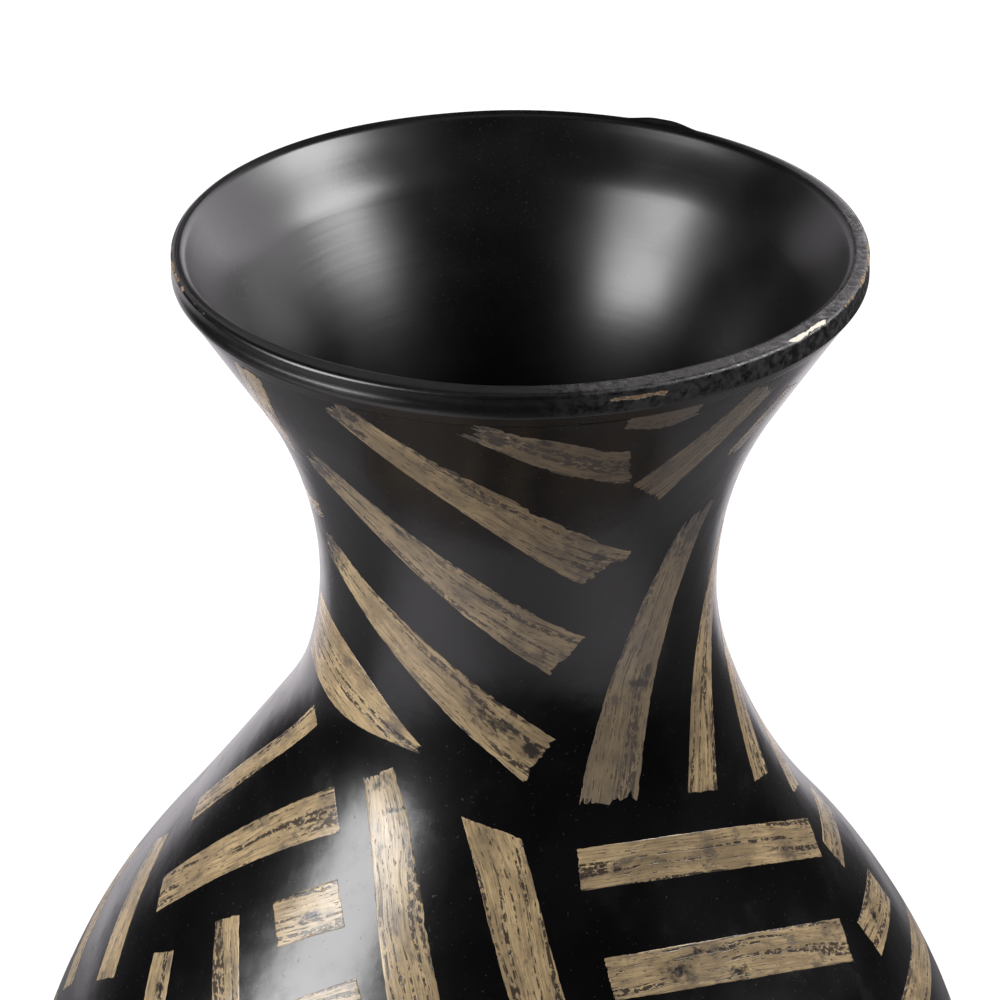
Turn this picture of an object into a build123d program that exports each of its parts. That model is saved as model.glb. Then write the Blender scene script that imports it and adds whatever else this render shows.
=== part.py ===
from build123d import *

# Black-lacquered clay vase, its outside inlaid with pale bark-veneer strips.
#
# Millimetres, +Z up, origin at the middle of the foot's resting plane. Azimuth 0 is the front (-Y), and
# azimuths grow towards +X. The clay body is thrown hollow. The strips are bonded to it, black lacquer
# fills the gaps between them to the same level, and a thinner lacquer lines the lip and the inside.

import os
from math import asin, cos, degrees, radians, sin, sqrt, tan

# Driving dimensions of the vase
height = 603.0
mouth_radius = 99.3
waist_radius = 60.3
waist_height = 496.0
foot_radius = 86.0
clay_thickness = 8.0
inlay_thickness = 0.8  # strips and outer lacquer alike, so that they end flush
lining_thickness = 0.5

# The outline: an arc and a straight flare above the waist, four tangent arcs below it
throat_arc_radius = 130.0
flare_angle = radians(31.0)
waist_arc_radius = 113.0
waist_arc_angle = radians(30.0)
shoulder_arc_radius = 500.0
shoulder_angle = radians(38.5)
belly_arc_radius = 230.0

# Lip, floor and foot
lip_height = 7.0
lip_corner_radius = 1.5
lip_round_radius = 8.5
lip_root_height = 1.0
floor_thickness = 10.0
floor_corner_radius = 25.0
foot_recess_radius = 76.0
foot_recess_depth = 4.0
foot_edge_radius = 2.5
bare_foot_height = 4.0

# Each strip is cut out of the inlay layer by a prism that reaches this far either side of its chord
cutter_reach = 24.0

# The strips round the front, each laid from a start to an end:
# (azimuth, height), (azimuth, height), (start and end width), (start and end slant), sideways bow
FRONT_STRIPS = {
    "neck_left_strip_1": ((-31, 592), (23, 528), (10, 14), (0, 25), 0.5),
    "neck_left_strip_2": ((-50, 559), (13.5, 499.5), (11, 14), (-30, 5), 1.3),
    "neck_left_strip_3": ((-64, 520), (6, 467), (10, 14), (0, -10), 1.0),
    "neck_left_strip_4": ((-84, 480), (-27, 467.5), (20, 3), (0, 0), 1.0),
    "neck_left_strip_5": ((-84, 528), (-60, 531), (8, 6), (0, 0), 0),
    "neck_left_strip_6": ((-49.5, 592), (-63, 556), (11, 13), (0, 0), 0),
    "neck_right_strip_1": ((-5, 590), (19, 572), (9, 15), (20, -20), 0),
    "neck_right_strip_2": ((43.5, 590), (29, 557.5), (13, 14), (0, -25), 0),
    "neck_right_strip_3": ((16, 592), (29.5, 592), (8, 8), (0, 0), 0),
    "neck_right_strip_4": ((56, 582), (48, 560), (10, 8), (0, 0), 0),
    "neck_right_strip_5": ((50, 541), (22.5, 451.5), (12, 18), (0, -15), 0.5),
    "neck_right_strip_6": ((80, 517), (50, 444), (13, 13), (0, 0), 1.0),
    "neck_right_strip_7": ((96, 480), (75, 431), (14, 13), (0, 0), 0),
    "neck_right_strip_8": ((108, 444), (91, 411), (14, 13), (0, 0), 0),
    "shoulder_right_strip_1": ((14, 436.5), (83, 402), (12.5, 13), (-8, 0), 0),
    "shoulder_right_strip_2": ((18.5, 408.5), (70, 382.5), (13, 14), (-12, 0), 0),
    "shoulder_right_strip_3": ((85, 393), (104, 391), (13, 13), (0, 0), 0),
    "shoulder_right_strip_4": ((75.5, 375.5), (92.5, 370.5), (14, 14), (0, 0), 0),
    "shoulder_right_strip_5": ((73, 352), (100, 342), (15, 15), (0, 0), 0),
    "shoulder_right_strip_6": ((21, 381), (62, 358), (14, 13.5), (-8, 0), 0),
    "shoulder_left_strip_1": ((-66.5, 458), (-91, 403), (7, 10), (0, 0), 0),
    "shoulder_left_strip_2": ((-45.3, 441.5), (-79, 386.5), (14, 13), (0, 0), -1.0),
    "shoulder_left_strip_3": ((-37.5, 456), (-9.5, 378), (12, 18), (0, 0), 0.5),
    "shoulder_left_strip_4": ((-6, 448.5), (10.5, 378), (15, 16), (38, 0), 0),
    "shoulder_left_strip_5": ((-46.5, 408.5), (-34.5, 421.5), (14, 15), (0, 0), 0),
    "shoulder_left_strip_6": ((-57.8, 402), (-42.5, 372), (11, 12), (0, 0), 0),
    "shoulder_left_strip_7": ((-67.3, 382), (-54, 352), (11, 12), (0, 0), 0),
    "shoulder_left_strip_8": ((-37, 387), (-24, 401), (15, 15), (0, 0), 0),
    "shoulder_left_strip_9": ((-95.5, 386), (-76.5, 360), (12, 13), (0, 0), 0),
    "shoulder_left_strip_10": ((-106, 362), (-88, 336), (13, 13), (0, 0), 0),
    "shoulder_left_strip_11": ((-36, 358), (-23, 372), (14, 14), (0, 0), 0),
}

# Elsewhere the strips are laid like basketwork, in rows where blocks of level strips, one above the
# other, take turns with blocks of upright ones, side by side:
# (heights of the level strips), half their span, how far they drop, (azimuths of their blocks)
LEVEL_STRIPS = {
    "back_mouth": ((577, 554, 530), 15, 3, (100, 140, 180, 220, 260)),
    "back_neck": ((502, 479, 456), 27, 3, (211,)),
    "back_shoulder": ((411, 392, 372), 17, 3, (180,)),
    "upper_belly": ((317, 292, 267), 12, 2.5, (0, 60, 120, 180, 240, 300)),
    "lower_belly": ((235, 210, 185), 12, 2.5, (30, 90, 150, 210, 270, 330)),
    "foot": ((153, 128, 103), 13, 2.5, (0, 60, 120, 180, 240, 300)),
}
# (top and bottom height), azimuth between neighbours, azimuth they lean by, (azimuths of their blocks)
UPRIGHT_STRIPS = {
    "back_neck": ((510, 448), 21, 4, (149,)),
    "back_shoulder": ((419, 365), 12.5, 3, (139, 221)),
    "upper_belly": ((324, 260), 9, 1.5, (30, 90, 150, 210, 270, 330)),
    "lower_belly": ((242, 178), 8.6, 1.5, (0, 60, 120, 180, 240, 300)),
    "foot": ((160, 96), 9.6, 1.5, (30, 90, 150, 210, 270, 330)),
}
strip_width = 13.5

# Sizes that follow from the outline
belly_radius = (
    waist_radius
    + waist_arc_radius * (1 - cos(waist_arc_angle))
    + shoulder_arc_radius * (cos(waist_arc_angle) - cos(shoulder_angle))
    + belly_arc_radius * (1 - cos(shoulder_angle))
)
belly_height = (
    waist_height
    - waist_arc_radius * sin(waist_arc_angle)
    - shoulder_arc_radius * (sin(shoulder_angle) - sin(waist_arc_angle))
    - belly_arc_radius * sin(shoulder_angle)
)
foot_setback = belly_radius - foot_radius
base_arc_radius = (belly_height**2 + foot_setback**2) / (2 * foot_setback)
lip_underside = height - lip_height
wall_thickness = inlay_thickness + clay_thickness + lining_thickness


def outline(inset, bottom, top):
    """The outer wall's line from height `bottom` to `top`, set back into the wall by `inset`."""
    waist = (waist_radius - inset, waist_height)
    throat = JernArc(waist, (0, 1), throat_arc_radius + inset, -degrees(flare_angle))
    flare_start = throat @ 1
    flare_rise = top - flare_start.Y
    flare = Line(flare_start, flare_start + Vector(flare_rise * tan(flare_angle), flare_rise))
    waist_arc = JernArc(waist, (0, -1), waist_arc_radius + inset, degrees(waist_arc_angle))
    shoulder_turn = degrees(shoulder_angle - waist_arc_angle)
    shoulder = JernArc(waist_arc @ 1, waist_arc % 1, shoulder_arc_radius + inset, shoulder_turn)
    belly = JernArc(shoulder @ 1, shoulder % 1, belly_arc_radius - inset, -degrees(shoulder_angle))
    base_turn = asin((belly_height - bottom) / (base_arc_radius - inset))
    base = JernArc(belly @ 1, belly % 1, base_arc_radius - inset, -degrees(base_turn))
    return [base, belly, shoulder, waist_arc, throat, flare]


def turned(face):
    """A section drawn as (radius, height), turned about the vase's axis."""
    return revolve(Plane.XZ * face, axis=Axis.Z)


def filled_vase(inset, bottom, top, corner_radius=0.0):
    """The vase as a full body inside its outline, with its lower corner rounded if asked."""
    lines = outline(inset, bottom, top)
    lower_corner = lines[0] @ 1
    upper_corner = lines[-1] @ 1
    lines.append(Line(upper_corner, (0, top)))
    lines.append(Line((0, top), (0, bottom)))
    lines.append(Line((0, bottom), lower_corner))
    face = make_face(lines)
    if corner_radius:
        corner = face.vertices().sort_by_distance(Vertex(lower_corner.X, lower_corner.Y, 0))[0]
        face = fillet(corner, corner_radius)
    return turned(face)


def outer_radius(z):
    """The vase's radius at height z on the straight flare, or on the arc that the height falls on."""
    rise = z - waist_height
    throat_rise = throat_arc_radius * sin(flare_angle)
    shoulder_top = waist_height - waist_arc_radius * sin(waist_arc_angle)
    belly_top = belly_height + belly_arc_radius * sin(shoulder_angle)
    if rise > throat_rise:
        throat_radius = waist_radius + throat_arc_radius * (1 - cos(flare_angle))
        return throat_radius + (rise - throat_rise) * tan(flare_angle)
    if rise > 0:
        return waist_radius + throat_arc_radius - sqrt(throat_arc_radius**2 - rise**2)
    if z > shoulder_top:
        return waist_radius + waist_arc_radius - sqrt(waist_arc_radius**2 - rise**2)
    if z > belly_top:
        arc_height = shoulder_top + shoulder_arc_radius * sin(waist_arc_angle)
        arc_side = waist_radius + waist_arc_radius * (1 - cos(waist_arc_angle))
        arc_side += shoulder_arc_radius * cos(waist_arc_angle)
        return arc_side - sqrt(shoulder_arc_radius**2 - (z - arc_height) ** 2)
    if z > belly_height:
        return belly_radius - belly_arc_radius + sqrt(belly_arc_radius**2 - (z - belly_height) ** 2)
    return belly_radius - base_arc_radius + sqrt(base_arc_radius**2 - (z - belly_height) ** 2)


def on_surface(azimuth, z):
    radius = outer_radius(z)
    return Vector(radius * sin(radians(azimuth)), -radius * cos(radians(azimuth)), z)


def outward(azimuth, z):
    """The direction square to the outer surface at an azimuth and height."""
    slope = outer_radius(z + 0.5) - outer_radius(z - 0.5)
    return Vector(sin(radians(azimuth)), -cos(radians(azimuth)), -slope).normalized()


def strip_cutter(start, end, widths, slants=(0, 0), bow=0):
    """A prism square to the surface at the strip's middle, with the strip's outline."""
    facing = outward((start[0] + end[0]) / 2, (start[1] + end[1]) / 2)
    first, last = on_surface(*start), on_surface(*end)
    along = last - first
    along -= facing * along.dot(facing)
    sheet = Plane(origin=(first + last) / 2, x_dir=along, z_dir=facing)
    reach = along.length / 2
    first_half, last_half = widths[0] / 2, widths[1] / 2
    first_skew = first_half * tan(radians(slants[0]))
    last_skew = last_half * tan(radians(slants[1]))
    corners = [
        (-reach - first_skew, -first_half),
        (reach - last_skew, -last_half),
        (reach + last_skew, last_half),
        (-reach + first_skew, first_half),
    ]
    mean_half = (first_half + last_half) / 2
    if bow:
        lower_side = ThreePointArc(corners[0], (0, bow - mean_half), corners[1])
        upper_side = ThreePointArc(corners[2], (0, bow + mean_half), corners[3])
    else:
        lower_side = Line(corners[0], corners[1])
        upper_side = Line(corners[2], corners[3])
    ends = [Line(corners[1], corners[2]), Line(corners[3], corners[0])]
    face = make_face([lower_side, ends[0], upper_side, ends[1]])
    return extrude(sheet * face, amount=cutter_reach, both=True)


def lip_ring(inset):
    """The lip as a ring, its faces set back by `inset`, down to the wall that it ends. Its inner edge
    is well rounded and its outer edge is sharper."""
    under, top = lip_underside + inset, height - inset
    depth = (wall_thickness - inset) / cos(flare_angle)
    outer_corners = [(mouth_radius - inset, under), (mouth_radius - inset, top)]
    inner_corners = [(outer_radius(top) - depth, top), (outer_radius(under) - depth, under)]
    face = make_face(Polyline(*outer_corners, *inner_corners, close=True))
    for corner, radius in ((inner_corners[0], lip_round_radius), (outer_corners[1], lip_corner_radius)):
        face = fillet(face.vertices().sort_by_distance(Vertex(*corner, 0))[0], radius - inset)
    return turned(face)


# Clay: the wall with its lip, open at the top, over a floor with a recess under it
wall_top = lip_underside + lip_root_height
floor_height = foot_recess_depth + floor_thickness
clay_inside = filled_vase(inlay_thickness + clay_thickness, floor_height, wall_top, floor_corner_radius)
clay_body = filled_vase(inlay_thickness, 0, wall_top) - clay_inside + lip_ring(lining_thickness)
clay_body -= Pos(Z=foot_recess_depth / 2) * Cylinder(foot_recess_radius, foot_recess_depth)
clay_body = fillet(clay_body.edges().group_by(Axis.Z)[0], foot_edge_radius)

# Lining: the thin lacquer over the lip and down the inside
lined_inside = filled_vase(
    wall_thickness, floor_height + lining_thickness, wall_top, floor_corner_radius - lining_thickness
)
inner_lacquer = (clay_inside - lined_inside + lip_ring(0)) - clay_body

# The layer that strips and outer lacquer share
inlay_layer = filled_vase(0, bare_foot_height, lip_underside) - filled_vase(
    inlay_thickness, bare_foot_height, lip_underside
)

parts = {"clay_body": clay_body, "inner_lacquer": inner_lacquer}
cutters = []
for name, laid in FRONT_STRIPS.items():
    cutter = strip_cutter(*laid)
    cutters.append(cutter)
    parts[name] = inlay_layer & cutter


def lay_copies(name, cutter, azimuths):
    """One strip cut from the layer at the front, and its copies round the vase as a single node."""
    strip = (inlay_layer & cutter).solid()
    parts[name] = Compound([Rot(Z=azimuth) * strip for azimuth in azimuths])
    cutters.extend(Rot(Z=azimuth) * cutter for azimuth in azimuths)


for row, (heights, half_span, drop, azimuths) in LEVEL_STRIPS.items():
    for number, z in enumerate(heights, start=1):
        cutter = strip_cutter((-half_span, z + drop / 2), (half_span, z - drop / 2), (strip_width,) * 2)
        lay_copies(f"{row}_level_strips_{number}", cutter, azimuths)

for row, ((top, bottom), pitch, lean, azimuths) in UPRIGHT_STRIPS.items():
    cutter = strip_cutter((-lean / 2, top), (lean / 2, bottom), (strip_width,) * 2)
    places = [azimuth + side * pitch for azimuth in azimuths for side in (-1, 0, 1)]
    lay_copies(f"{row}_upright_strips", cutter, places)

parts["outer_lacquer"] = inlay_layer - cutters

os.makedirs("parts", exist_ok=True)
for name, shape in parts.items():
    shape.label = name
    export_step(shape, f"parts/{name}.step")
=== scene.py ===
import math
import random

import bmesh
import bpy
import numpy as np
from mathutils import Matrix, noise


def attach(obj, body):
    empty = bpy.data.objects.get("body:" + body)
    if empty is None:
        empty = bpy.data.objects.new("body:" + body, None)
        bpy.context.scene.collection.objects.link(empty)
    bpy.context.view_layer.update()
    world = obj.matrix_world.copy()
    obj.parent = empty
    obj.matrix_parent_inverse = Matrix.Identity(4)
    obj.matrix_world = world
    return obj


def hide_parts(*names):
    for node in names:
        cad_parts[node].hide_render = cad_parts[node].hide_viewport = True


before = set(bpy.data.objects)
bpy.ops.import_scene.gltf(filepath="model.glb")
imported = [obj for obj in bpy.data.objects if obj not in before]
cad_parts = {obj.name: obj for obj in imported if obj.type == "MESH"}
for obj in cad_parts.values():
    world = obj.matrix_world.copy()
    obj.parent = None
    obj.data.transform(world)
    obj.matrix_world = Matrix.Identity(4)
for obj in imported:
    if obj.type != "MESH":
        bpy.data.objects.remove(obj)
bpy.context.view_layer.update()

MM = 0.001
rng = random.Random(41)

# ---------------------------------------------------------------- the vase's outline, as in the CAD
WAIST_R, WAIST_Z = 60.3, 496.0
THROAT_ARC, WAIST_ARC, SHOULDER_ARC, BELLY_ARC = 130.0, 113.0, 500.0, 230.0
FLARE, WAIST_TURN, SHOULDER_TURN = (math.radians(a) for a in (31.0, 30.0, 38.5))
FOOT_R, HEIGHT, MOUTH_R = 86.0, 603.0, 99.3
INLAY, CLAY, LINING = 0.8, 8.0, 0.5
WALL = INLAY + CLAY + LINING
BARE_FOOT, LIP_UNDER, FLOOR_Z = 4.0, 596.0, 14.5
LINING_SEGMENTS, LACQUER_SEGMENTS, CLAY_SEGMENTS = 640, 400, 320
THROAT_TOP = WAIST_Z + THROAT_ARC * math.sin(FLARE)
THROAT_R = WAIST_R + THROAT_ARC * (1 - math.cos(FLARE))
SHOULDER_Z = WAIST_Z - WAIST_ARC * math.sin(WAIST_TURN)
SHOULDER_R = WAIST_R + WAIST_ARC * (1 - math.cos(WAIST_TURN))
BELLY_TOP_Z = SHOULDER_Z - SHOULDER_ARC * (math.sin(SHOULDER_TURN) - math.sin(WAIST_TURN))
BELLY_TOP_R = SHOULDER_R + SHOULDER_ARC * (math.cos(WAIST_TURN) - math.cos(SHOULDER_TURN))
BELLY_Z = BELLY_TOP_Z - BELLY_ARC * math.sin(SHOULDER_TURN)
BELLY_R = BELLY_TOP_R + BELLY_ARC * (1 - math.cos(SHOULDER_TURN))
SETBACK = BELLY_R - FOOT_R
BASE_ARC = (BELLY_Z**2 + SETBACK**2) / (2 * SETBACK)


def outer_radius(z):
    """Radius of the finished outer surface at height z, both in millimetres; z may be an array."""
    z = np.asarray(z, float)
    flare = THROAT_R + (z - THROAT_TOP) * math.tan(FLARE)
    throat = WAIST_R + THROAT_ARC - np.sqrt(np.maximum(THROAT_ARC**2 - (z - WAIST_Z) ** 2, 0))
    waist = WAIST_R + WAIST_ARC - np.sqrt(np.maximum(WAIST_ARC**2 - (z - WAIST_Z) ** 2, 0))
    centre_z = SHOULDER_Z + SHOULDER_ARC * math.sin(WAIST_TURN)
    centre_r = SHOULDER_R + SHOULDER_ARC * math.cos(WAIST_TURN)
    shoulder = centre_r - np.sqrt(np.maximum(SHOULDER_ARC**2 - (z - centre_z) ** 2, 0))
    belly = BELLY_R - BELLY_ARC + np.sqrt(np.maximum(BELLY_ARC**2 - (z - BELLY_Z) ** 2, 0))
    base = BELLY_R - BASE_ARC + np.sqrt(np.maximum(BASE_ARC**2 - (z - BELLY_Z) ** 2, 0))
    bands = [z > THROAT_TOP, z > WAIST_Z, z > SHOULDER_Z, z > BELLY_TOP_Z, z > BELLY_Z]
    return np.select(bands, [flare, throat, waist, shoulder, belly], base)


def slope(z):
    return outer_radius(np.asarray(z) + 0.25) * 2 - outer_radius(np.asarray(z) - 0.25) * 2


def outward(azimuth, z):
    """Unit normals of the outer surface, as (n, 3)."""
    a, rise = np.radians(azimuth) + 0 * slope(z), -slope(z) + 0 * np.radians(azimuth)
    n = np.stack([np.sin(a), -np.cos(a), rise], -1)
    return n / np.linalg.norm(n, axis=-1, keepdims=True)


def on_surface(azimuth, z):
    a, r = np.radians(azimuth), outer_radius(z)
    return np.stack([r * np.sin(a), -r * np.cos(a), z + 0 * a], -1)


def smoothstep(x, lo, hi):
    t = np.clip((x - lo) / (hi - lo), 0, 1)
    return t * t * (3 - 2 * t)


def hand_thrown(points):
    """The slight lean and unevenness of a pot thrown by hand, given to every piece alike."""
    p = np.array(points, float)
    x, y, z = p[:, 0], p[:, 1], p[:, 2]
    angle = np.arctan2(x, -y)
    out_of_round = 0.35 * np.sin(2 * angle + 0.8) + 0.25 * np.sin(3 * angle - 1.1 + z / 160)
    out_of_round *= smoothstep(z, 20, 140)
    throwing = 0.10 * np.sin(z / 7.3 + 1.5 * np.sin(angle) + np.sin(z / 31))
    throwing *= smoothstep(z, 20, 80) * (1 - 0.6 * smoothstep(z, 470, 520))
    r = np.hypot(x, y)
    swell = (out_of_round + throwing) * np.clip(r / 60, 0, 1) / np.maximum(r, 1)
    right_and_back = 1.9 * smoothstep(angle, 0.2, 1.5) + 1.6 * smoothstep(angle, 1.8, 2.8)
    left = 3.5 * smoothstep(-angle, 0.35, 1.3)
    thinner = np.where(angle > 0, right_and_back, 0) + left
    depth = outer_radius(z) - r
    swell += thinner * smoothstep(depth, 4.5, 10.0) * smoothstep(z, 585, 602) / np.maximum(r, 1)
    lean = 1.0 * smoothstep(z, 20, 200) + 4.4 * smoothstep(z, 400, 460)
    p[:, 0] = x * (1 + swell) + lean
    p[:, 1] = y * (1 + swell)
    p[:, 2] = z + 0.35 * np.sin(angle + 0.6) * smoothstep(z, 560, 600)
    return p


# ---------------------------------------------------------------- meshes
def new_piece(name, points, faces, material, nodes, uv=None, values=None):
    """A smooth-shaded piece that stands for CAD nodes; points are in millimetres, before the lean."""
    mesh = bpy.data.meshes.new(name)
    mesh.from_pydata((hand_thrown(points) * MM).tolist(), [], faces)
    shell = bmesh.new()
    shell.from_mesh(mesh)
    bmesh.ops.recalc_face_normals(shell, faces=shell.faces)
    shell.to_mesh(mesh)
    shell.free()
    mesh.shade_smooth()
    if uv is not None:
        layer = mesh.uv_layers.new(name="grain")
        corners = np.empty(len(mesh.loops), np.int32)
        mesh.loops.foreach_get("vertex_index", corners)
        layer.data.foreach_set("uv", np.asarray(uv, np.float32)[corners].ravel())
    for key, numbers in (values or {}).items():
        layer = mesh.attributes.new(key, "FLOAT", "POINT")
        layer.data.foreach_set("value", np.asarray(numbers, np.float32))
    mesh.materials.append(material)
    piece = bpy.data.objects.new(name, mesh)
    bpy.context.collection.objects.link(piece)
    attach(piece, "root")
    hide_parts(*nodes)
    return piece


def rounded(corners, radii, step):
    """A line of (r, z) points through corners, each rounded by an arc of its radius."""
    corners = [np.array(c, float) for c in corners]
    line = [corners[0]]
    for before, corner, after, radius in zip(corners, corners[1:], corners[2:], radii):
        into, out = before - corner, after - corner
        into, out = into / np.linalg.norm(into), out / np.linalg.norm(out)
        half = math.acos(np.clip(into @ out, -1, 1)) / 2
        middle = (into + out) / np.linalg.norm(into + out)
        centre = corner + middle * radius / math.sin(half)
        first = corner + into * radius / math.tan(half) - centre
        last = corner + out * radius / math.tan(half) - centre
        turn = math.pi - 2 * half
        count = max(3, int(radius * turn / step))
        for i in range(count + 1):
            t = i / count
            spoke = (math.sin((1 - t) * turn) * first + math.sin(t * turn) * last) / math.sin(turn)
            line.append(centre + spoke)
    line.append(corners[-1])
    return np.array(line)


def spaced(line, step):
    """The same line with points put in wherever two are further apart than step."""
    out = [line[0]]
    for a, b in zip(line, line[1:]):
        parts = max(1, int(math.ceil(np.linalg.norm(b - a) / step)))
        out.extend(a + (b - a) * i / parts for i in range(1, parts + 1))
    return np.array(out)


def set_back(line, depth):
    """The line moved to its right-hand side by depth."""
    along = np.gradient(line, axis=0)
    along /= np.linalg.norm(along, axis=1, keepdims=True)
    return line + np.stack([along[:, 1], -along[:, 0]], -1) * depth


def turned(line, segments, closed):
    """Points and faces of a line of (r, z) turned about the axis; a point on the axis is a pole."""
    angles = np.linspace(0, 2 * math.pi, segments, endpoint=False)
    points, rows = [], []
    for r, z in line:
        if r < 1e-6:
            rows.append([len(points)] * segments)
            points.append((0.0, 0.0, z))
        else:
            rows.append(list(range(len(points), len(points) + segments)))
            points.extend((r * math.sin(a), -r * math.cos(a), z) for a in angles)
    pairs = list(zip(rows, rows[1:])) + ([(rows[-1], rows[0])] if closed else [])
    faces = []
    for low, high in pairs:
        for i in range(segments):
            j = (i + 1) % segments
            corner = list(dict.fromkeys((low[i], low[j], high[j], high[i])))
            if len(corner) > 2:
                faces.append(corner)
    return np.array(points), faces


def wall_line(inset, low, high, step):
    """The outer wall's line between two heights, set into the wall by inset."""
    z = np.linspace(low, high, int((high - low) / step) + 2)
    n = outward(0, z)
    return np.stack([outer_radius(z) + n[:, 1] * inset, z - n[:, 2] * inset], -1)


# ---------------------------------------------------------------- materials
class Nodes:
    """Short calls for building one material's node tree."""

    def __init__(self, name):
        self.material = bpy.data.materials.new(name)
        self.material.use_nodes = True
        self.tree = self.material.node_tree
        self.shader = self.tree.nodes["Principled BSDF"]

    def add(self, kind, **inputs):
        node = self.tree.nodes.new(kind)
        for key, value in inputs.items():
            self.put(node.inputs[int(key[1:]) if key[0] == "_" else key], value)
        return node

    def put(self, socket, value):
        if isinstance(value, bpy.types.NodeSocket):
            self.tree.links.new(value, socket)
        else:
            socket.default_value = value

    def coordinates(self, stretch=(1, 1, 1), shift=(0, 0, 0), source=None):
        mapping = self.add("ShaderNodeMapping", Scale=stretch, Location=shift)
        if source is None:
            source = self.add("ShaderNodeTexCoord").outputs["Object"]
        self.put(mapping.inputs["Vector"], source)
        return mapping.outputs["Vector"]

    def noise(self, vector, scale, detail=4.0, roughness=0.5, distortion=0.0):
        node = self.add("ShaderNodeTexNoise", Vector=vector, Scale=scale, Detail=detail)
        self.put(node.inputs["Roughness"], roughness)
        self.put(node.inputs["Distortion"], distortion)
        return node.outputs["Fac"]

    def value(self, name):
        node = self.add("ShaderNodeAttribute")
        node.attribute_name = name
        return node.outputs["Fac"]

    def between(self, value, low, high, to_low=0.0, to_high=1.0):
        node = self.add("ShaderNodeMapRange", _0=value, _1=low, _2=high, _3=to_low, _4=to_high)
        node.interpolation_type = "SMOOTHSTEP"
        return node.outputs[0]

    def math(self, operation, a, b):
        node = self.add("ShaderNodeMath", _0=a, _1=b)
        node.operation = operation
        return node.outputs[0]

    def mix(self, amount, a, b):
        node = self.add("ShaderNodeMix", _0=amount)
        node.data_type = "RGBA"
        for socket, colour in ((node.inputs[6], a), (node.inputs[7], b)):
            self.put(socket, colour if isinstance(colour, bpy.types.NodeSocket) else (*colour, 1))
        return node.outputs[2]

    def bump(self, height, distance, strength=1.0, under=None):
        node = self.add("ShaderNodeBump", Height=height, Distance=distance, Strength=strength)
        if under is not None:
            self.put(node.inputs["Normal"], under)
        return node.outputs["Normal"]

    def finish(self, colour, roughness, normal, **settings):
        self.put(self.shader.inputs["Base Color"], colour)
        self.put(self.shader.inputs["Roughness"], roughness)
        self.put(self.shader.inputs["Normal"], normal)
        for key, value in settings.items():
            self.shader.inputs[key.replace("_", " ")].default_value = value
        return self.material


def outer_lacquer_material():
    m = Nodes("outer_lacquer")
    place = m.coordinates()
    cloud = m.noise(place, 22, 3)
    smudge = m.noise(place, 75, 5, 0.6)
    dust = m.between(m.noise(place, 900, 2), 0.68, 0.76)
    colour = m.mix(m.between(cloud, 0.35, 0.7), (0.0011, 0.001, 0.0012), (0.0024, 0.0022, 0.0026))
    colour = m.mix(m.math("MULTIPLY", dust, 0.3), colour, (0.045, 0.042, 0.04))
    roughness = m.between(cloud, 0.3, 0.7, 0.2, 0.25)
    roughness = m.math("ADD", roughness, m.between(smudge, 0.5, 0.75, 0.0, 0.07))
    roughness = m.math("ADD", roughness, m.math("MULTIPLY", dust, 0.1))
    waves = m.bump(m.noise(place, 42, 2), 0.0009, 0.35)
    ripple = m.bump(m.noise(place, 240, 3), 0.00012, 0.4, waves)
    return m.finish(colour, roughness, ripple, IOR=1.5)


def inner_lacquer_material():
    """Satin black; the attribute wear bares the clay under it, and rub greys it."""
    m = Nodes("inner_lacquer")
    place = m.coordinates()
    cloud = m.noise(place, 30, 4)
    rings = m.noise(m.coordinates((3, 3, 520)), 1.0, 3, 0.6)
    leather = m.noise(place, 420, 5, 0.65)
    flecks = m.between(m.noise(place, 1500, 2), 0.66, 0.74)
    rub = m.math("MULTIPLY", m.value("rub"), m.between(leather, 0.36, 0.66))
    worn = m.math("ADD", m.value("wear"), m.math("MULTIPLY", m.math("SUBTRACT", leather, 0.5), 1.1))
    bare = m.between(worn, 0.5, 0.62)
    chip = m.between(m.math("ADD", m.value("chip"), m.math("SUBTRACT", leather, 0.5)), 0.5, 0.56)
    colour = m.mix(m.between(cloud, 0.3, 0.7), (0.0007, 0.00065, 0.0007), (0.0018, 0.0016, 0.0018))
    colour = m.mix(m.math("MULTIPLY", flecks, 0.35), colour, (0.06, 0.055, 0.05))
    colour = m.mix(m.math("MULTIPLY", rub, 0.4), colour, (0.05, 0.047, 0.045))
    tan = m.mix(m.between(m.noise(place, 700, 3), 0.35, 0.65), (0.30, 0.20, 0.11), (0.13, 0.085, 0.05))
    colour = m.mix(bare, colour, tan)
    colour = m.mix(chip, colour, (0.72, 0.66, 0.56))
    apart = m.add("ShaderNodeSeparateXYZ", Vector=place)
    roughness = m.math("ADD", m.between(cloud, 0.3, 0.7, 0.27, 0.33), m.math("MULTIPLY", rub, 0.3))
    roughness = m.math("ADD", roughness, m.between(apart.outputs["Z"], 0.585, 0.53, 0.0, 0.05))
    roughness = m.math("MAXIMUM", roughness, m.math("MULTIPLY", m.math("MAXIMUM", bare, chip), 0.75))
    fine = m.bump(rings, 0.00012, 0.25)
    rough = m.bump(m.math("MULTIPLY", leather, m.value("rub")), 0.0004, 0.6, fine)
    flaked = m.bump(m.math("SUBTRACT", 1.0, m.math("MAXIMUM", bare, chip)), 0.0003, 0.8, rough)
    return m.finish(colour, roughness, flaked, IOR=1.5)


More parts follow.
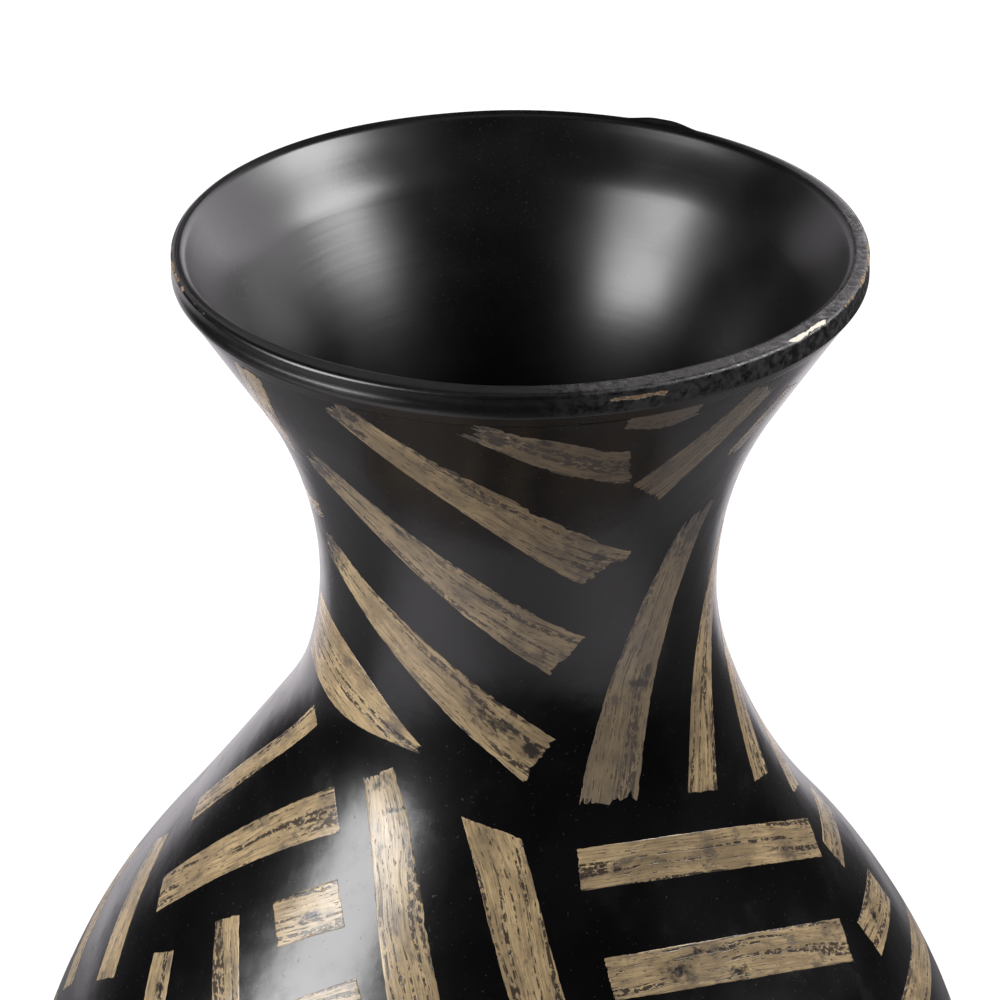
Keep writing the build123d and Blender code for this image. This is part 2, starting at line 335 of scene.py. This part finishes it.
def clay_material():
    m = Nodes("clay")
    place = m.coordinates()
    grain = m.noise(place, 900, 6, 0.7)
    rings = m.noise(m.coordinates((6, 6, 700)), 1.0, 3)
    cloud = m.noise(place, 26, 4)
    grit = m.between(m.noise(place, 2200, 1), 0.66, 0.72)
    colour = m.mix(m.between(cloud, 0.3, 0.7), (0.33, 0.21, 0.12), (0.45, 0.31, 0.19))
    colour = m.mix(m.between(grain, 0.35, 0.7), colour, (0.27, 0.18, 0.11))
    colour = m.mix(m.math("MULTIPLY", grit, 0.7), colour, (0.07, 0.05, 0.035))
    relief = m.bump(rings, 0.0003, 0.6, m.bump(grain, 0.0004, 0.6))
    return m.finish(colour, m.between(grain, 0.3, 0.7, 0.75, 0.95), relief)


def veneer_material():
    """Bark veneer under clear gloss: lengthwise grain in the grain UV map, u along the strip."""
    m = Nodes("bark_veneer")
    along = m.add("ShaderNodeUVMap")
    along.uv_map = "grain"
    uv = along.outputs["UV"]
    drift = m.noise(m.coordinates((22, 40, 1), source=uv), 1.0, 2)
    sway = m.add("ShaderNodeCombineXYZ", Y=m.between(drift, 0.2, 0.8, -0.0014, 0.0014))
    uv = m.add("ShaderNodeVectorMath", _0=uv, _1=sway.outputs["Vector"]).outputs["Vector"]
    fibre = m.noise(m.coordinates((45, 1300, 1), source=uv), 1.0, 6, 0.7)
    hairs = m.noise(m.coordinates((130, 4200, 1), (0.3, 9.7, 0), uv), 1.0, 3, 0.6)
    vein = m.noise(m.coordinates((14, 420, 1), (4.1, 3.3, 0), uv), 1.0, 2, 0.5)
    broken = m.noise(m.coordinates((420, 700, 1), (3.1, 1.7, 0), uv), 1.0, 3, 0.65)
    dashes = m.noise(m.coordinates((260, 1500, 1), (8.3, 6.1, 0), uv), 1.0, 3, 0.6)
    cloud = m.noise(m.coordinates((60, 100, 1), (7.7, 2.3, 0), uv), 1.0, 4, 0.6)
    smoke = m.noise(m.coordinates((90, 130, 1), (1.9, 5.3, 0), uv), 1.0, 5, 0.65)
    colour = m.mix(m.between(cloud, 0.36, 0.64), (0.46, 0.34, 0.185), (0.255, 0.187, 0.104))
    colour = m.mix(m.between(fibre, 0.42, 0.62, 0.0, 0.62), colour, (0.16, 0.108, 0.058))
    colour = m.mix(m.between(hairs, 0.44, 0.66, 0.0, 0.5), colour, (0.14, 0.10, 0.06))
    colour = m.mix(m.between(smoke, 0.52, 0.68, 0.0, 0.85), colour, (0.085, 0.066, 0.05))
    line = m.math("MULTIPLY", m.between(vein, 0.54, 0.57), m.between(broken, 0.46, 0.5))
    dark = m.between(dashes, 0.6, 0.65, 0.0, 0.95)
    dark = m.math("MAXIMUM", m.math("MULTIPLY", line, 0.95), dark)
    dark = m.math("MAXIMUM", dark, m.between(fibre, 0.59, 0.66, 0.0, 0.92))
    colour = m.mix(dark, colour, (0.03, 0.021, 0.015))
    shade = m.math("ADD", m.value("stain"), m.math("MULTIPLY", m.math("SUBTRACT", broken, 0.5), 1.5))
    shade = m.math("MINIMUM", m.between(shade, 0.12, 0.62), m.between(m.value("stain"), 0.02, 0.2))
    colour = m.mix(shade, colour, (0.012, 0.010, 0.009))
    colour = m.mix(m.value("tone"), colour, (0.10, 0.085, 0.072))
    roughness = m.between(smoke, 0.3, 0.7, 0.17, 0.26)
    relief = m.bump(m.math("SUBTRACT", hairs, m.math("MULTIPLY", dark, 0.9)), 0.00008, 0.6)
    return m.finish(colour, roughness, relief, IOR=1.5)


OUTER, INNER, BARE, VENEER = (
    outer_lacquer_material(),
    inner_lacquer_material(),
    clay_material(),
    veneer_material(),
)


# ---------------------------------------------------------------- lining with the lip
def inner_point(z):
    """Where the finished inner wall is, straight in from the outer wall's height z."""
    return tuple(wall_line(WALL, z, z, 1)[0])


lip_inner = float(outer_radius(HEIGHT)) - WALL / math.cos(FLARE)
heel = inner_point(50)
floor_line = rounded([(0, FLOOR_Z), (heel[0] - 19.0, FLOOR_Z), heel], [24], 2.5)
lip_line = rounded(
    [
        inner_point(566),
        (lip_inner, HEIGHT - 0.3),
        (MOUTH_R - 0.2, HEIGHT),
        (MOUTH_R, LIP_UNDER + 0.4),
        (float(outer_radius(LIP_UNDER)) + 0.05, LIP_UNDER - 0.4),
        tuple(wall_line(-0.02, 592.5, 592.5, 1)[0]),
    ],
    [3.0, 1.3, 0.9, 0.6],
    0.4,
)
lining_front = np.concatenate(
    [spaced(floor_line, 8)[:-1], wall_line(WALL, 50, 560, 7), spaced(lip_line, 1.6)]
)
lining_back = set_back(lining_front, LINING)[-2::-5]
lining_back = lining_back[lining_back[:, 0] > 3]
lining_line = np.concatenate([lining_front, lining_back, [(0, FLOOR_Z - LINING)]])
points, faces = turned(lining_line, LINING_SEGMENTS, closed=False)

azimuth = np.degrees(np.arctan2(points[:, 0], -points[:, 1]))
radius = np.hypot(points[:, 0], points[:, 1])
height = points[:, 2]


def wander(where, scale, seed):
    """Smooth noise from -1 to 1 at each point."""
    return np.array([noise.noise(p) for p in (where * scale + seed)])


def span(values, low, high, soft):
    """1 between low and high and 0 outside, with edges as soft as soft."""
    begun, ended = (smoothstep(values, edge - soft, edge + soft) for edge in (low, high))
    return begun * (1 - ended)


lip = np.flatnonzero((height > 586) & (radius > lip_inner - 8))
az, r, z = azimuth[lip], radius[lip], height[lip]
around = np.stack([np.sin(np.radians(az)), -np.cos(np.radians(az)), 0 * az], -1)
uneven = wander(around, 2.3, 4.1)
crumbs = wander(points[lip], 0.45, 1.7)
outer_edge = np.exp(-(((r - MOUTH_R + 0.8) / 0.9) ** 2 + ((z - HEIGHT + 0.8) / 0.9) ** 2))
right_side = span(az, 8, 100, 8)
damage = (span(az, 43, 61, 3) + 0.35 * span(az, 10, 90, 12)) * np.clip(crumbs + 0.35, 0, 1)
damage *= r > 95

rub = np.zeros(len(points))
rub[lip] = (0.06 + 0.94 * right_side) * smoothstep(r, lip_inner - 1, lip_inner + 2)
rub[lip] *= z > LIP_UNDER + 0.3
line_left = span(az, -88, -68, 2) + 0.8 * span(az, -65, -56, 2)
line_right = span(az, 58, 96, 3) + 0.7 * span(az, 49, 56, 2)
patchy = 0.75 + 0.5 * wander(around, 14, 2.2)
bare_patch = span(az, 13, 22.5, 1.0) * span(z, 599.4, 600.7, 0.6) * (r > MOUTH_R - 0.7)
wear = np.zeros(len(points))
wear[lip] = outer_edge * (line_left + line_right) * patchy + 1.0 * bare_patch
chip = np.zeros(len(points))
chip[lip] = span(az, 46, 57, 2.5) * np.exp(-(((r - MOUTH_R + 1.4) / 1.1) ** 2)) * patchy
chip[lip] *= z > HEIGHT - 2.5

relief = 0.22 * uneven * smoothstep(z, 594, 598)
relief -= 0.35 * damage * smoothstep(z, 597, 600)
relief += 1.3 * span(az, 148, 157, 3) * np.exp(-(((r - MOUTH_R) / 3.0) ** 2)) * (z > 598)
relief -= 0.5 * chip[lip]
bead = span(az, -66, -12, 12) * np.exp(-(((z - 597.9) / 1.1) ** 2)) * (r > MOUTH_R - 1)
face_in = (0.15 + 0.2 * uneven) * np.exp(-(((z - 600.3) / 1.2) ** 2)) * (r > MOUTH_R - 1)
points[lip, 2] += relief
points[lip, :2] *= (1 + (0.2 * relief + 0.7 * bead - face_in) / MOUTH_R)[:, None]
new_piece(
    "lip_and_lining",
    points,
    faces,
    INNER,
    ["inner_lacquer"],
    values={"rub": rub, "wear": wear, "chip": chip},
)

# ---------------------------------------------------------------- outer lacquer and clay
front = wall_line(0, BARE_FOOT + 0.3, LIP_UNDER - 0.5, 3.3)
foot_edge = [tuple(wall_line(inset, BARE_FOOT, BARE_FOOT, 1)[0]) for inset in (INLAY, 0.3)]
back = wall_line(INLAY, BARE_FOOT + 12, LIP_UNDER - 0.5, 12)[::-1]
points, faces = turned(np.concatenate([foot_edge, front, back]), LACQUER_SEGMENTS, closed=True)
new_piece("outer_lacquer", points, faces, OUTER, ["outer_lacquer"])

foot_side = float(wall_line(INLAY, 5, 5, 1)[0][0])
underside = rounded(
    [(0, 4.0), (76.0, 4.0), (76.0, 0.0), (foot_side - 1.2, 0.0), (foot_side + 0.4, 5.5)],
    [1.5, 2.4, 2.4],
    0.5,
)
clay_lip = rounded(
    [
        tuple(wall_line(INLAY, 592, 592, 1)[0]),
        (MOUTH_R - 1.7, LIP_UNDER + 1.2),
        (MOUTH_R - 1.7, HEIGHT - 1.3),
        (lip_inner + 1.3, HEIGHT - 1.3),
        tuple(wall_line(WALL - LINING, 575, 575, 1)[0]),
    ],
    [0.5, 1.4, 2.8],
    0.5,
)
clay_inside = np.concatenate(
    [wall_line(WALL - LINING, 50, 570, 8)[::-1], set_back(floor_line, LINING)[::-1][1:-1]]
)
clay_line = np.concatenate(
    [spaced(underside, 4), wall_line(INLAY, 7, 590, 8), clay_lip, clay_inside, [(0, FLOOR_Z - LINING)]]
)
points, faces = turned(clay_line, CLAY_SEGMENTS, closed=False)
grit = wander(points, 0.35, 6.6) * 0.12 * (points[:, 2] < 7) * (points[:, 2] > 0.5)
points[:, 2] += grit
new_piece("clay_body", points, faces, BARE, ["clay_body"])

# ---------------------------------------------------------------- veneer strips
# (azimuth, height), (azimuth, height), (start and end width), (start and end slant), sideways bow
FRONT_STRIPS = {
    "neck_left_strip_1": ((-31, 592), (23, 528), (10, 14), (0, 25), 0.5),
    "neck_left_strip_2": ((-50, 559), (13.5, 499.5), (11, 14), (-30, 5), 1.3),
    "neck_left_strip_3": ((-64, 520), (6, 467), (10, 14), (0, -10), 1.0),
    "neck_left_strip_4": ((-84, 480), (-26.5, 466.5), (25, 3), (0, 0), 1.0),
    "neck_left_strip_5": ((-84, 528), (-60, 531), (8, 6), (0, 0), 0),
    "neck_left_strip_6": ((-49.5, 592), (-63, 556), (11, 13), (0, 0), 0),
    "neck_right_strip_1": ((-9, 592), (20.5, 571), (8, 16), (20, -32), 0),
    "neck_right_strip_2": ((43.5, 590), (26.5, 557), (13, 17), (0, 8), 0),
    "neck_right_strip_3": ((16, 592), (29.5, 592), (8, 8), (0, 0), 0),
    "neck_right_strip_4": ((56, 582), (48, 560), (10, 8), (0, 0), 0),
    "neck_right_strip_5": ((50, 541), (22.5, 451.5), (12, 18), (0, -15), 0.5),
    "neck_right_strip_6": ((80, 517), (50, 444), (13, 13), (0, 0), 1.0),
    "neck_right_strip_7": ((96, 480), (75, 431), (14, 13), (0, 0), 0),
    "neck_right_strip_8": ((108, 444), (91, 411), (14, 13), (0, 0), 0),
    "shoulder_right_strip_1": ((14, 436.5), (83, 402), (12.5, 13), (-8, 0), 0),
    "shoulder_right_strip_2": ((18.5, 408.5), (70, 382.5), (13, 14), (-12, 0), 0),
    "shoulder_right_strip_3": ((85, 393), (104, 391), (13, 13), (0, 0), 0),
    "shoulder_right_strip_4": ((75.5, 375.5), (92.5, 370.5), (14, 14), (0, 0), 0),
    "shoulder_right_strip_5": ((73, 352), (100, 342), (15, 15), (0, 0), 0),
    "shoulder_right_strip_6": ((21, 381), (62, 358), (14, 13.5), (-8, 0), 0),
    "shoulder_left_strip_1": ((-66.5, 458), (-91, 403), (7, 10), (0, 0), 0),
    "shoulder_left_strip_2": ((-45.3, 441.5), (-79, 386.5), (14, 13), (0, 0), -1.0),
    "shoulder_left_strip_3": ((-37.5, 456), (-9.5, 378), (12, 18), (0, 0), 0.5),
    "shoulder_left_strip_4": ((-6, 448.5), (10.5, 378), (15, 16), (38, 0), 0),
    "shoulder_left_strip_5": ((-46.5, 408.5), (-34.5, 421.5), (14, 15), (0, 0), 0),
    "shoulder_left_strip_6": ((-57.8, 402), (-42.5, 372), (11, 12), (0, 0), 0),
    "shoulder_left_strip_7": ((-67.3, 382), (-54, 352), (11, 12), (0, 0), 0),
    "shoulder_left_strip_8": ((-37, 387), (-24, 401), (15, 15), (0, 0), 0),
    "shoulder_left_strip_9": ((-95.5, 386), (-76.5, 360), (12, 13), (0, 0), 0),
    "shoulder_left_strip_10": ((-106, 362), (-88, 336), (13, 13), (0, 0), 0),
    "shoulder_left_strip_11": ((-36, 358), (-23, 372), (14, 14), (0, 0), 0),
}
# Torn strips: how far the start and end are frayed, and how deep the lower and upper side are nicked
TORN = {
    "neck_left_strip_1": (7, 6, 0.3, 1.6),
    "neck_left_strip_2": (9, 2.5, 0.4, 1.2),
    "neck_left_strip_3": (8, 3, 0.5, 0.7),
    "neck_left_strip_4": (1, 5, 0.3, 0.3),
    "neck_left_strip_5": (6, 5, 1.2, 1.2),
    "neck_left_strip_6": (4, 5, 0.8, 0.8),
    "neck_right_strip_1": (8, 3, 1.6, 1.6),
    "neck_right_strip_2": (3, 2.2, 0.7, 1.0),
    "neck_right_strip_3": (4, 4, 1.2, 0.4),
    "neck_right_strip_4": (3, 4, 1.0, 1.0),
    "neck_right_strip_5": (14, 5, 0.6, 0.7),
    "shoulder_left_strip_3": (2.5, 2, 0.6, 0.9),
}
# Dark spots: how far along from the start (0 to 1), how far to a side, half length, half width, strength
KNOTS = {
    "neck_left_strip_1": (
        (0.06, 1.5, 2.5, 1.6, 1.0),
        (0.12, -2.0, 2.0, 1.2, 0.9),
        (0.93, 3.0, 3.5, 2.0, 0.7),
    ),
    "neck_left_strip_2": (
        (0.05, -2.0, 4.0, 1.5, 0.8),
        (0.34, 4.5, 3.0, 1.2, 0.8),
        (0.72, 4.0, 6.0, 1.4, 0.6),
    ),
    "neck_left_strip_3": ((0.95, 1.0, 2.6, 1.9, 1.0), (0.8, 1.5, 9.0, 3.5, 0.45)),
    "neck_right_strip_1": ((0.2, 0.0, 3.0, 2.5, 1.0), (0.42, 5.0, 3.0, 1.5, 0.7)),
    "neck_right_strip_5": (
        (0.62, 2.5, 1.3, 4.0, 1.0),
        (0.58, 5.0, 2.5, 1.6, 0.9),
        (0.12, 0.5, 9.0, 1.6, 0.7),
    ),
    "shoulder_left_strip_3": ((0.03, 0.0, 3.0, 5.0, 0.4), (0.12, 3.0, 0.9, 5.0, 0.6)),
    "shoulder_left_strip_5": ((0.55, -1.0, 5.0, 1.6, 0.6),),
    "shoulder_right_strip_2": (
        (0.22, -1.0, 5.0, 3.0, 0.55),
        (0.45, -4.0, 4.5, 2.0, 0.6),
        (0.3, 3.5, 4.0, 2.0, 0.5),
    ),
    "shoulder_right_strip_4": ((0.35, 1.0, 3.0, 2.5, 0.6),),
    "shoulder_left_strip_7": ((0.25, 1.0, 3.0, 2.0, 0.6), (0.6, -1.0, 2.5, 1.5, 0.5)),
}
# How far the lower and upper side stand out at the middle
SWELL = {
    "neck_left_strip_1": (0.0, 3.4),
    "neck_left_strip_2": (0.6, 0.4),
    "neck_left_strip_3": (0.8, 1.0),
    "neck_left_strip_4": (4.0, 3.0),
    "neck_right_strip_1": (0.3, 1.0),
    "neck_right_strip_3": (3.0, 0.0),
    "neck_right_strip_5": (0.4, 0.4),
}
# Greyer strips
TONE = {
    "neck_left_strip_1": 0.3,
    "neck_left_strip_2": 0.3,
    "neck_right_strip_1": 0.5,
    "neck_right_strip_2": 0.5,
    "neck_right_strip_3": 0.7,
    "neck_right_strip_5": 0.5,
    "neck_right_strip_4": 0.3,
    "neck_left_strip_3": 0.12,
}
LEVEL_STRIPS = {
    "back_mouth": ((577, 554, 530), 15, 3, (100, 140, 180, 220, 260)),
    "back_neck": ((502, 479, 456), 27, 3, (211,)),
    "back_shoulder": ((411, 392, 372), 17, 3, (180,)),
    "upper_belly": ((317, 292, 267), 12, 2.5, (0, 60, 120, 180, 240, 300)),
    "lower_belly": ((235, 210, 185), 12, 2.5, (30, 90, 150, 210, 270, 330)),
    "foot": ((153, 128, 103), 13, 2.5, (0, 60, 120, 180, 240, 300)),
}
UPRIGHT_STRIPS = {
    "back_neck": ((510, 448), 21, 4, (149,)),
    "back_shoulder": ((419, 365), 12.5, 3, (139, 221)),
    "upper_belly": ((324, 260), 9, 1.5, (30, 90, 150, 210, 270, 330)),
    "lower_belly": ((242, 178), 8.6, 1.5, (0, 60, 120, 180, 240, 300)),
    "foot": ((160, 96), 9.6, 1.5, (30, 90, 150, 210, 270, 330)),
}
STRIP_WIDTH = 13.5
STRIP_EDGE, STEP_ACROSS, STEP_ALONG, FRONT_FINENESS = 0.3, 0.9, 1.1, 0.55
PROUD, SUNK = 0.09, 0.6


def torn_edge(along, depth, scale, seed):
    """How far an edge is eaten in: a slow wander plus sharp nicks."""
    probe = np.stack([along / scale, np.full_like(along, seed), np.zeros_like(along)], -1)
    slow = wander(probe, 0.35, 0.7)
    sharp = wander(probe, 1.3, 5.1)
    return depth * np.clip(0.1 + 0.5 * slow + 0.9 * np.maximum(sharp, 0), -0.15, None)


def strip_mesh(
    start, end, widths, slants=(0, 0), bow=0.0, torn=(0.5,) * 4, swell=(0, 0), knots=(), tone=0.0, fine=1.0
):
    """Points, faces, grain UVs, stain and tone of one strip laid on the outer surface."""
    seed = rng.uniform(0, 90)
    middle_az, middle_z = (start[0] + end[0]) / 2, (start[1] + end[1]) / 2
    facing = outward(np.array(middle_az), np.array(middle_z))
    first = on_surface(np.array(start[0]), np.array(start[1]))
    last = on_surface(np.array(end[0]), np.array(end[1]))
    along = last - first
    along -= facing * (along @ facing)
    reach = np.linalg.norm(along) / 2
    along /= 2 * reach
    across = np.cross(facing, along)
    columns = np.linspace(-1, 1, int(sum(widths) / 2 / (STEP_ACROSS * fine)) + 3)
    rows = np.linspace(0, 1, int(2 * reach / (STEP_ALONG * fine)) + 2)
    rim_q, rim_t = 2 * STRIP_EDGE / sum(widths) * 2, STRIP_EDGE / (2 * reach)
    q = np.concatenate([[-1], columns[1:-1] * (1 - rim_q), [1]])
    q = np.sort(np.concatenate([q, [-1 + rim_q, 1 - rim_q]]))
    t = np.sort(np.concatenate([rows, [rim_t, 1 - rim_t]]))
    half = np.array(widths) / 2
    skew = half * np.tan(np.radians(slants))
    fibres = q * half.mean()
    x_start = -reach + q * skew[0] + torn_edge(fibres, torn[0], 1.0 + 0.12 * torn[0], seed)
    x_end = reach + q * skew[1] - torn_edge(fibres, torn[1], 1.0 + 0.12 * torn[1], seed + 7)
    x = x_start[None, :] + (x_end - x_start)[None, :] * t[:, None]
    share = np.clip((x + reach) / (2 * reach), 0, 1)
    bend = bow * 4 * share * (1 - share)
    half_here = half[0] + (half[1] - half[0]) * share
    side_x = -reach + 2 * reach * t
    low = torn_edge(side_x, torn[2], 3.5, seed + 13)[:, None]
    high = torn_edge(side_x, torn[3], 3.5, seed + 19)[:, None]
    fullness = (np.sin(np.pi * np.clip((side_x + reach) / (2 * reach), 0, 1)) ** 1.5)[:, None]
    lower = -half_here + low + bend - swell[0] * fullness
    upper = half_here - high + bend + swell[1] * fullness
    y = lower + (upper - lower) * (q[None, :] + 1) / 2
    flat = (first + last) / 2 + x[..., None] * along + y[..., None] * across
    lift = np.zeros_like(x)
    for _ in range(12):
        spot = flat + lift[..., None] * facing
        distance = np.hypot(spot[..., 0], spot[..., 1])
        gap = distance - outer_radius(spot[..., 2])
        rate = (spot[..., 0] * facing[0] + spot[..., 1] * facing[1]) / distance
        rate = rate - slope(spot[..., 2]) * facing[2]
        lift -= np.clip(gap / np.where(np.abs(rate) < 0.15, 0.15, rate), -8, 8)
    spot = flat + lift[..., None] * facing
    around = np.degrees(np.arctan2(spot[..., 0], -spot[..., 1]))
    normal = outward(around, spot[..., 2])
    inside = np.ones_like(x)
    inside[[0, -1], :] = 0
    inside[:, [0, -1]] = 0
    top = spot + normal * (PROUD * (inside - 0.3))[..., None]
    bottom = spot - normal * SUNK
    count_t, count_q = x.shape
    total = count_t * count_q
    index = np.arange(total).reshape(count_t, count_q)
    quads = np.stack([index[:-1, :-1], index[1:, :-1], index[1:, 1:], index[:-1, 1:]], -1).reshape(-1, 4)
    ring = np.concatenate([index[0, :-1], index[:-1, -1], index[-1, :0:-1], index[:0:-1, 0]])
    after = np.roll(ring, -1)
    walls = np.stack([ring, after, after + total, ring + total], -1)
    faces = np.concatenate([quads, quads[:, ::-1] + total, walls])
    uv = np.stack([x, y], -1).reshape(-1, 2) * MM + np.array([seed * 0.37, seed * 0.113])
    stain = np.zeros_like(x)
    if torn[0] > 5:
        stain = 0.5 * (1 - smoothstep(x, -reach + torn[0] * 0.3, -reach + torn[0] * 2.2))
    for place, side, length, width, strength in knots:
        spread = ((x - (2 * place - 1) * reach) / length) ** 2 + ((y - side) / width) ** 2
        stain = np.maximum(stain, strength * np.exp(-spread))
    tone = np.full(total, tone + rng.uniform(0.0, 0.12))
    points = np.concatenate([top.reshape(-1, 3), bottom.reshape(-1, 3)])
    return points, faces, np.tile(uv, (2, 1)), np.tile(stain.ravel(), 2), np.tile(tone, 2)


def lay_strips(name, laid):
    """One piece of one or more strips, for the CAD node of the same name."""
    points, faces, uv, stain, tone, count = [], [], [], [], [], 0
    for strip in laid:
        mesh = strip_mesh(**strip)
        points.append(mesh[0])
        faces.extend((mesh[1] + count).tolist())
        uv.append(mesh[2])
        stain.append(mesh[3])
        tone.append(mesh[4])
        count += len(mesh[0])
    points, uv = np.concatenate(points), np.concatenate(uv)
    new_piece(
        name,
        points,
        faces,
        VENEER,
        [name],
        uv=uv,
        values={"stain": np.concatenate(stain), "tone": np.concatenate(tone)},
    )


def hidden_torn():
    """Slight tearing of the two ends and the two sides of a strip out of sight."""
    ends = tuple(rng.uniform(0.3, 1.4) for _ in range(2))
    return ends + tuple(rng.uniform(0.15, 0.5) for _ in range(2))


for name, (start, end, widths, slants, bow) in FRONT_STRIPS.items():
    front = dict(
        start=start,
        end=end,
        widths=widths,
        slants=slants,
        bow=bow,
        torn=TORN.get(name, (0.7, 0.7, 0.35, 0.35)),
        swell=SWELL.get(name, (0, 0)),
        knots=KNOTS.get(name, ()),
        tone=TONE.get(name, 0.0),
        fine=FRONT_FINENESS,
    )
    lay_strips(name, [front])

for row, (heights, half_span, drop, azimuths) in LEVEL_STRIPS.items():
    for number, level in enumerate(heights, start=1):
        laid = [
            dict(
                start=(azimuth - half_span, level + drop / 2),
                end=(azimuth + half_span, level - drop / 2),
                widths=(STRIP_WIDTH, STRIP_WIDTH),
                torn=hidden_torn(),
            )
            for azimuth in azimuths
        ]
        lay_strips(f"{row}_level_strips_{number}", laid)

for row, ((top, bottom), pitch, lean, azimuths) in UPRIGHT_STRIPS.items():
    laid = [
        dict(
            start=(azimuth + side * pitch - lean / 2, top),
            end=(azimuth + side * pitch + lean / 2, bottom),
            widths=(STRIP_WIDTH, STRIP_WIDTH),
            torn=hidden_torn(),
        )
        for azimuth in azimuths
        for side in (-1, 0, 1)
    ]
    lay_strips(f"{row}_upright_strips", laid)


# ---------------------------------------------------------------- floor, light and camera
def glow_material(name, albedo, glow, tint=(1, 0.95, 1)):
    """A dull white sheet that also glows; glow is a number, or a function that makes it from x and y."""
    m = Nodes(name)
    m.shader.inputs["Base Color"].default_value = (albedo, albedo, albedo, 1)
    m.shader.inputs["Roughness"].default_value = 0.8
    m.shader.inputs["Specular IOR Level"].default_value = 0.1
    m.shader.inputs["Emission Color"].default_value = (*tint, 1)
    if callable(glow):
        apart = m.add("ShaderNodeSeparateXYZ", Vector=m.coordinates())
        glow = glow(m, apart.outputs["X"], apart.outputs["Y"])
    m.put(m.shader.inputs["Emission Strength"], glow)
    return m.material


def table_glow(m, x, y):
    """Where the table is lit: in front on both sides, and behind; it fades out at its edges."""
    left, right = m.between(x, -0.05, -0.45, 0.0, 0.6), m.between(x, 0.1, 0.5, 0.0, 0.25)
    front = m.math("ADD", 0.5, m.math("ADD", left, right))
    for edge in (m.between(y, -1.1, -0.84), m.between(y, 0.12, -0.32), m.between(x, 1.02, 0.9)):
        front = m.math("MULTIPLY", front, edge)
    back = m.between(y, 0.5, 0.8, 0.0, 1.2)
    for edge in (m.between(x, -1.15, -0.8), m.between(x, 0.62, 0.35)):
        back = m.math("MULTIPLY", back, edge)
    rest = m.between(x, 0.75, 0.35, 0.03, 0.18)
    return m.math("MAXIMUM", m.math("MAXIMUM", front, back), rest)


def stage_sheet(name, corners, material, to_camera=False):
    """A plain sheet, seen either by the camera alone or by light and reflections alone."""
    mesh = bpy.data.meshes.new(name)
    mesh.from_pydata(corners, [], [(0, 1, 2, 3)])
    mesh.materials.append(material)
    sheet = bpy.data.objects.new(name, mesh)
    bpy.context.collection.objects.link(sheet)
    sheet.visible_camera = to_camera
    sheet.visible_diffuse = sheet.visible_glossy = not to_camera
    sheet.visible_shadow = False


stage_sheet(
    "floor",
    [(-30, -30, 0), (30, -30, 0), (30, 30, 0), (-30, 30, 0)],
    glow_material("white_floor", 0.1, 0.98, tint=(1, 1, 1)),
    to_camera=True,
)
stage_sheet(
    "table",
    [(-1.7, -1.2, 0), (1.7, -1.2, 0), (1.7, 1.9, 0), (-1.7, 1.9, 0)],
    glow_material("table_top", 0.05, table_glow),
)
stage_sheet(
    "right_reflector",
    [(1.45, 0.45, 0.68), (0.2, 1.55, 0.62), (0.2, 1.55, 1.6), (1.45, 0.45, 1.6)],
    glow_material("right_reflector", 0.05, 2.4),
)
stage_sheet(
    "left_reflector",
    [(-0.2, 1.6, 0.62), (-1.2, 1.1, 0.62), (-1.2, 1.1, 1.4), (-0.2, 1.6, 1.4)],
    glow_material("left_reflector", 0.05, 0.9),
)

world = bpy.data.worlds.new("studio")
world.use_nodes = True
bpy.context.scene.world = world
tree = world.node_tree
seen = tree.nodes.new("ShaderNodeLightPath")
blend = tree.nodes.new("ShaderNodeMixShader")
room = tree.nodes["Background"]
room.inputs["Color"].default_value = (0.5, 0.5, 0.53, 1)
room.inputs["Strength"].default_value = 0.02
backdrop = tree.nodes.new("ShaderNodeBackground")
backdrop.inputs["Color"].default_value = (0.985, 0.985, 0.99, 1)
tree.links.new(seen.outputs["Is Camera Ray"], blend.inputs[0])
tree.links.new(room.outputs[0], blend.inputs[1])
tree.links.new(backdrop.outputs[0], blend.inputs[2])
tree.links.new(blend.outputs[0], tree.nodes["World Output"].inputs["Surface"])


LAMP_DISTANCE, LAMP_AIM = 1.5, 0.45


def softbox(name, azimuth, distance, height, width, tall, power):
    """An area light round the vase, turned to face its axis."""
    lamp = bpy.data.lights.new(name, "AREA")
    lamp.shape, lamp.size, lamp.size_y, lamp.energy = "RECTANGLE", width, tall, power
    holder = bpy.data.objects.new(name, lamp)
    a = math.radians(azimuth)
    place = np.array([distance * math.sin(a), -distance * math.cos(a), height])
    back = place - np.array([0, 0, LAMP_AIM])
    holder.location = place
    holder.rotation_euler = (math.atan2(math.hypot(back[0], back[1]), back[2]), 0, a)
    bpy.context.collection.objects.link(holder)


softbox("right_softbox", 90, LAMP_DISTANCE, 1.68, 1.0, 0.8, 42)
softbox("left_softbox", -64, LAMP_DISTANCE, 1.16, 0.88, 1.0, 42)
softbox("overhead", 0, 0.01, 2.6, 1.2, 1.2, 1.5)

camera = bpy.data.objects.new("camera", bpy.data.cameras.new("camera"))
camera.data.lens = 100.8
camera.data.sensor_width = 36
camera.location = (0, -0.7301, 0.9266)
camera.rotation_euler = (math.radians(60.717), 0, 0)
bpy.context.collection.objects.link(camera)
bpy.context.scene.camera = camera
bpy.context.scene.view_settings.view_transform = "Standard"
